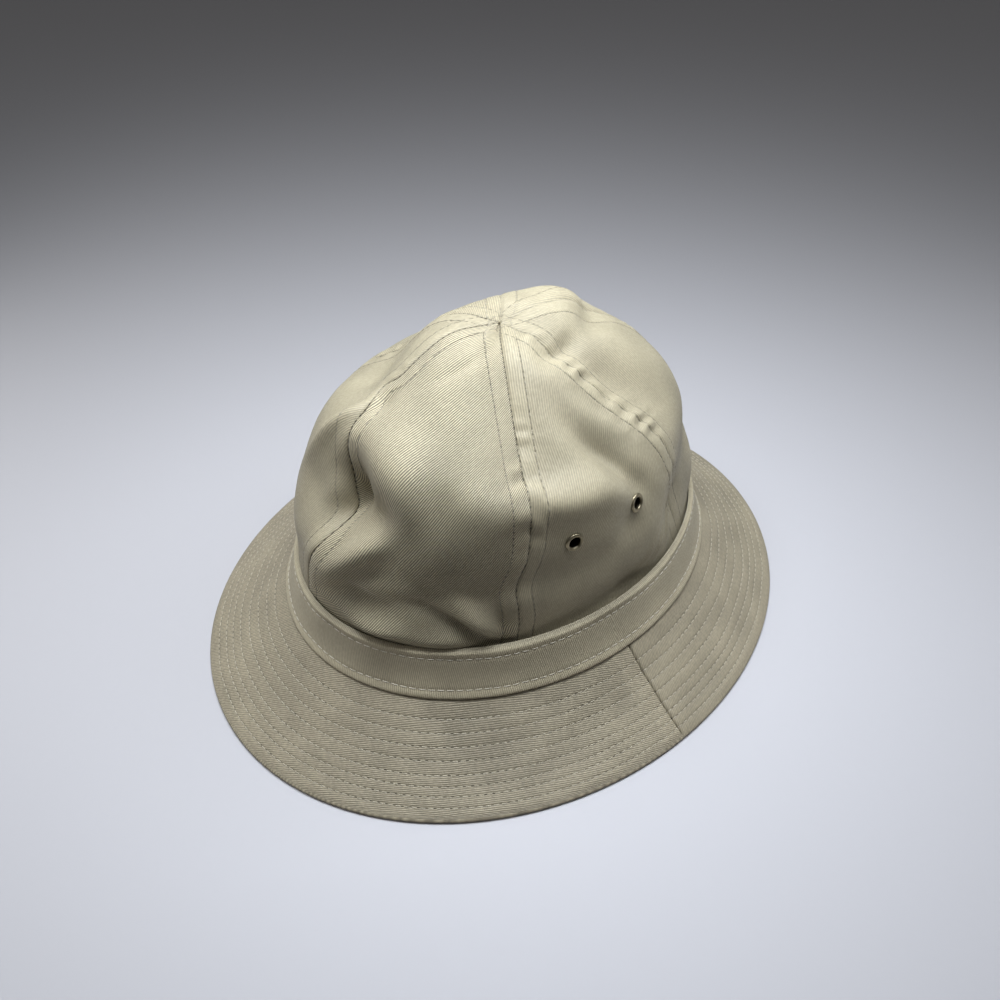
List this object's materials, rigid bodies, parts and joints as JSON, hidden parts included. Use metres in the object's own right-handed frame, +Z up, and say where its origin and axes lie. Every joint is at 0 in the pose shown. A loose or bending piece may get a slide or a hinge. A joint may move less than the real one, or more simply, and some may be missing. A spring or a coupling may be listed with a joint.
{
  "type": "bucket hat",
  "caption": "Soft cotton-twill safari bucket hat: gored crown with vent eyelets, a sewn hatband and a sloping stitched brim that it stands on.",
  "frame": {"origin": "on the ground, in the middle of the brim's oval outline", "axes": "+Z up through the apex, -Y towards the front of the hat, +X towards the wearer's left"},
  "size_m": [0.243, 0.291, 0.1494],
  "materials": {
    "crown_twill": "khaki cotton twill, soft, slightly faded",
    "band_twill": "khaki cotton twill, doubled and topstitched",
    "brim_twill": "khaki cotton twill, layered and row-stitched",
    "eyelet_metal": "antique brass, slightly dulled"
  },
  "bodies": {
    "root": {"crown_panel_front_left": "crown_twill", "crown_panel_left": "crown_twill", "crown_panel_back_left": "crown_twill", "crown_panel_back_right": "crown_twill", "crown_panel_right": "crown_twill", "crown_panel_front_right": "crown_twill", "band": "band_twill", "brim_front": "brim_twill", "brim_back": "brim_twill", "eyelet_left_front": "eyelet_metal", "eyelet_left_back": "eyelet_metal", "eyelet_right_front": "eyelet_metal", "eyelet_right_back": "eyelet_metal"}
  },
  "joints": []
}
